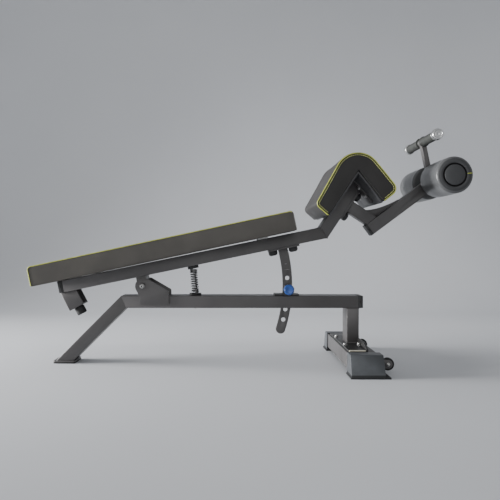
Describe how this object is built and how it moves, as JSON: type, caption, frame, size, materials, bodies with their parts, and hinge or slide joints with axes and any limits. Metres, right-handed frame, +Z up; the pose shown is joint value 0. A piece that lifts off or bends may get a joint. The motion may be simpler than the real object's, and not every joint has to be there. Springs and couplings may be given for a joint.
{
  "type": "adjustable decline bench",
  "caption": "Decline bench with a long flat pad, an inverted-V knee pad, foam ankle rollers and a T handle on a tilting frame, over a base with an arc adjuster and pull pin.",
  "frame": {"origin": "on the floor, under the middle of the bench's overall length and width", "axes": "+X from the head end of the bench to the foot roller end, +Y towards the side away from the pull pin, +Z up"},
  "size_m": [1.7184, 0.698, 0.936],
  "materials": {
    "frame_paint": "satin",
    "pad_vinyl": "satin",
    "roller_vinyl": "satin",
    "rubber": "matte",
    "grip_rubber": "matte",
    "black_plastic": "satin",
    "foot_plastic": "satin",
    "steel": "satin",
    "spring_steel": "satin",
    "aluminium": "polished",
    "blue_plastic": "gloss",
    "board": "matte"
  },
  "bodies": {
    "base": {"front_foot_pad": "rubber", "front_foot_plate": "frame_paint", "front_leg": "frame_paint", "base_beam": "frame_paint", "base_beam_cap": "black_plastic", "pivot_plate_near": "frame_paint", "pivot_plate_far": "frame_paint", "pivot_bolt": "steel", "pin_bracket": "frame_paint", "upright_post": "frame_paint", "post_base_plate": "frame_paint", "cross_beam": "frame_paint", "cross_foot_near": "foot_plastic", "cross_foot_far": "foot_plastic", "wheel_fork_near": "frame_paint", "wheel_fork_far": "frame_paint", "spring_seat_lower": "black_plastic", "lift_spring": "spring_steel"},
    "pin": {"pull_pin": "steel", "pin_knob": "blue_plastic"},
    "bench": {"bench_tube": "frame_paint", "stop_leg": "frame_paint", "pivot_lug": "frame_paint", "arc_plate": "frame_paint", "arc_flange": "frame_paint", "knee_tube": "frame_paint", "knee_pad_bracket": "frame_paint", "leg_flange": "frame_paint", "leg_bracket_tube": "frame_paint", "leg_gusset": "frame_paint", "leg_tube": "frame_paint", "handle_post": "frame_paint", "bench_pad": "pad_vinyl", "knee_pad": "pad_vinyl", "stop_bumper": "rubber", "handle_grip_near": "grip_rubber", "handle_grip_far": "grip_rubber", "bench_tube_cap": "black_plastic", "leg_tube_cap": "black_plastic", "spring_seat_upper": "black_plastic", "arc_bolt_cap_rear": "black_plastic", "arc_bolt_cap_front": "black_plastic", "leg_bolt_cap_lower": "black_plastic", "leg_bolt_cap_upper": "black_plastic", "roller_axle": "steel", "handle_bar": "steel", "pad_bracket_rear": "steel", "pad_bracket_front": "steel", "handle_cap_near": "aluminium", "handle_cap_far": "aluminium", "bench_pad_board": "board", "knee_pad_board": "board"},
    "roller_near": {"roller_near": "roller_vinyl", "roller_cap_near": "black_plastic"},
    "roller_far": {"roller_far": "roller_vinyl", "roller_cap_far": "black_plastic"},
    "wheel_near": {"wheel_near": "rubber"},
    "wheel_far": {"wheel_far": "rubber"}
  },
  "joints": [
    {"name": "bench_tilt", "type": "hinge", "parent": "base", "child": "bench", "pos_m": [-0.4135, 0, 0.318], "axis": [0, -1, 0], "range_deg": [-4.2, 12.6], "deforming": ["lift_spring"]},
    {"name": "pin_slide", "type": "slide", "parent": "base", "child": "pin", "axis": [0, -1, 0], "range_m": [-0.014, 0]},
    {"name": "roller_near_spin", "type": "hinge", "parent": "bench", "child": "roller_near", "pos_m": [0.79346, -0.153, 0.75033], "axis": [0, 1, 0], "continuous": true},
    {"name": "roller_far_spin", "type": "hinge", "parent": "bench", "child": "roller_far", "pos_m": [0.79346, 0.153, 0.75033], "axis": [0, 1, 0], "continuous": true},
    {"name": "wheel_near_spin", "type": "hinge", "parent": "base", "child": "wheel_near", "pos_m": [0.5445, -0.233, 0.034], "axis": [0, 1, 0], "continuous": true},
    {"name": "wheel_far_spin", "type": "hinge", "parent": "base", "child": "wheel_far", "pos_m": [0.5445, 0.233, 0.034], "axis": [0, 1, 0], "continuous": true}
  ]
}
